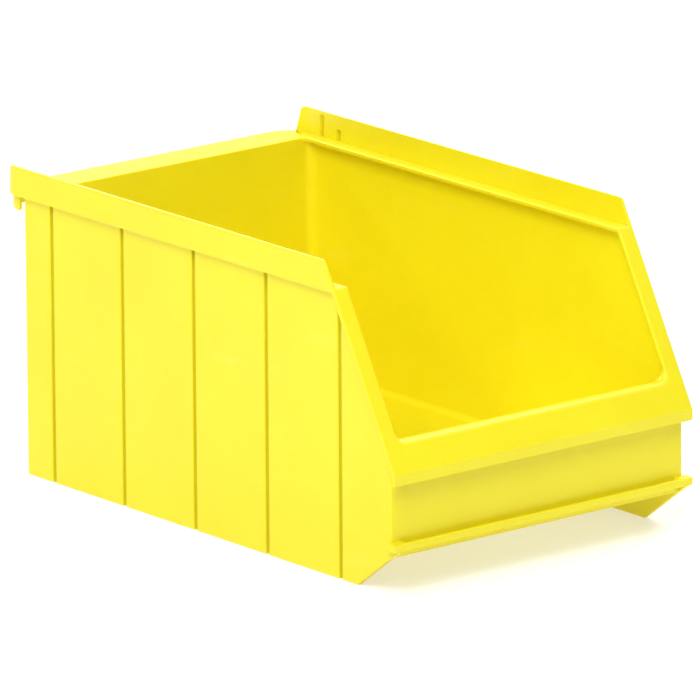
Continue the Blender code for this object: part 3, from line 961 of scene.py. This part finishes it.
def moulded_plastic():
    """Satin yellow polypropylene.

    Its colour has clouds, level flow marks and fine flecks; the grooves and notches are painted darker as
    shade, and the soles are scuffed pale and rough. A fine spark grain and a slow ripple stand on the
    surface.
    """
    shading = Shading("yellow_polypropylene", PLASTIC_SHADER)
    place = shading.place
    level = shading.drawn(DRAWN_LEVEL)
    separate = shading.node("ShaderNodeSeparateXYZ")
    shading.feed(separate.inputs["Vector"], place)
    x, y, z = separate.outputs
    outward = shading.arithmetic("ABSOLUTE", x)
    fleck = shading.noise(place, *FLECK)
    scratch = shading.ranged(shading.noise(shading.drawn(DRAWN_BACK), *SCRATCH), *SCRATCH_MASK)
    scuff = shading.arithmetic("MULTIPLY", shading.ranged(z, 0.0, SCUFF_HEIGHT, 1.0, 0.0), scratch)
    # Where the grooves and notches get painted shade.
    recess_shade = painted_shade_mask(shading, outward, y, z)

    tint = shading.ranged(shading.noise(place, *CLOUD), *CLOUD_TINT)
    tint = shading.mixed(tint, PLASTIC_DEEP, PLASTIC_LIGHT)
    flow = shading.ranged(shading.noise(level, *FLOW), *FLOW_TINT)
    tint = shading.mixed(flow, tint, PLASTIC_PALE)
    tint = shading.mixed(shading.ranged(fleck, *FLECK_TINT), tint, PLASTIC_DEEP)
    tint = shading.mixed(shading.ranged(scuff, *SCUFF_TINT), tint, PLASTIC_PALE)
    # Painted shade: the grooves and notches are darkened towards a deep yellow.
    tint = shading.mixed(shading.ranged(recess_shade, *PAINTED_SHADE_TINT), tint, PLASTIC_PAINTED_SHADE)

    rough = shading.ranged(shading.noise(place, *HANDLING), *HANDLING_ROUGHNESS)
    rough = shading.arithmetic("ADD", rough, shading.ranged(fleck, *FLECK_ROUGHNESS))
    rough = shading.arithmetic("ADD", rough, shading.ranged(scuff, *SCUFF_ROUGHNESS))

    grain = shading.bump(shading.noise(place, *GRAIN), *GRAIN_BUMP)
    relief = shading.bump(shading.noise(level, *RIPPLE), *RIPPLE_BUMP, Normal=grain)
    shading.feed(shading.surface.inputs["Base Color"], tint)
    shading.feed(shading.surface.inputs["Roughness"], rough)
    shading.feed(shading.surface.inputs["Normal"], relief)
    return shading.material


def build_bin():
    """Every member of the moulding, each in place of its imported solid."""
    plastic = moulded_plastic()
    member("moulded_floor", floor_tray(), plastic, "floor_panel")
    member("moulded_rear_wall", rear_wall(), plastic, "rear_wall")
    member("moulded_label_panel", label_panel(), plastic, "front_label_panel")
    member("moulded_sill", rolled_sill(), plastic, "front_sill")
    member("moulded_label_lip", label_lip(), plastic, "label_top_lip")
    member("moulded_label_shelf", label_shelf(), plastic, "label_bottom_ledge")
    member("moulded_hanging_plate", hanging_plate(), plastic, "rear_hanging_flange")
    member("moulded_hook_lip", hook_lip(), plastic, "rear_hook_lip")
    for side, word in ((-1, "left"), (1, "right")):
        member(f"moulded_{word}_side", side_wall(side), plastic, f"{word}_side_wall")
        member(f"moulded_{word}_runner", runner(side), plastic, f"{word}_runner")
        member(f"moulded_{word}_rim", stacking_rim(side), plastic, f"{word}_stacking_rim")
        member(f"moulded_{word}_ledge", stacking_ledge(side), plastic, f"{word}_stacking_ledge")
        member(f"moulded_{word}_mouth_upright", mouth_upright(side), plastic, f"{word}_mouth_flange")
        member(f"moulded_{word}_hook_corner", hook_corner(side), plastic, f"{word}_hook_corner")


# ---------------------------------------------------------------- the studio

def camera():
    """A long lens a little above the bin, to its front left."""
    data = bpy.data.cameras.new("camera")
    data.lens = CAMERA_LENS
    data.sensor_width = SENSOR_WIDTH
    data.clip_start = CAMERA_NEAR
    data.clip_end = CAMERA_FAR
    item = bpy.data.objects.new("camera", data)
    bpy.context.scene.collection.objects.link(item)
    level = math.cos(CAMERA_ELEVATION)
    across_x, across_y = math.cos(CAMERA_AZIMUTH), math.sin(CAMERA_AZIMUTH)
    back = Vector((across_y * level, -across_x * level, math.sin(CAMERA_ELEVATION)))
    right = Vector((across_x, across_y, 0.0))
    up = back.cross(right)
    turned_right = math.cos(CAMERA_ROLL) * right + math.sin(CAMERA_ROLL) * up
    turned_up = back.cross(turned_right)
    turn = Matrix((turned_right, turned_up, back)).transposed().to_4x4()
    item.matrix_world = Matrix.Translation(CAMERA_TARGET + back * CAMERA_DISTANCE) @ turn
    bpy.context.scene.camera = item


def soft_box(name, place, aim, width, height, power):
    """A rectangular light that faces a point."""
    data = bpy.data.lights.new(name, "AREA")
    data.shape = "RECTANGLE"
    data.size = width
    data.size_y = height
    data.energy = power
    item = bpy.data.objects.new(name, data)
    bpy.context.scene.collection.objects.link(item)
    item.location = place
    item.rotation_mode = "QUATERNION"
    item.rotation_quaternion = (Vector(aim) - Vector(place)).to_track_quat("-Z", "Y")


def studio_floor():
    """A wide sheet of pale paper under the bin, its colour very slightly uneven."""
    half = FLOOR_SIZE / 2
    mesh = bpy.data.meshes.new("studio_floor")
    corners = [(x, y, 0.0) for x, y in rectangle(-half, half, -half, half)]
    mesh.from_pydata(corners, [], [(0, 1, 2, 3)])
    floor = bpy.data.objects.new("studio_floor", mesh)
    bpy.context.scene.collection.objects.link(floor)
    shading = Shading("pale_paper", FLOOR_SHADER)
    shade = shading.ranged(shading.noise(shading.place, *PAPER_TOOTH), *PAPER_SHADE)
    shading.feed(shading.surface.inputs["Base Color"], shade)
    mesh.materials.append(shading.material)


def studio():
    """Plain soft light on a pale floor."""
    scene = bpy.context.scene
    scene.view_settings.view_transform = "Standard"
    scene.view_settings.look = "None"
    world = bpy.data.worlds.new("pale_room")
    world.use_nodes = True
    background = world.node_tree.nodes["Background"]
    background.inputs["Color"].default_value = WORLD_COLOUR
    background.inputs["Strength"].default_value = WORLD_LIGHT
    scene.world = world
    studio_floor()
    for box in SOFT_BOXES:
        soft_box(*box)


build_bin()
studio()
camera()
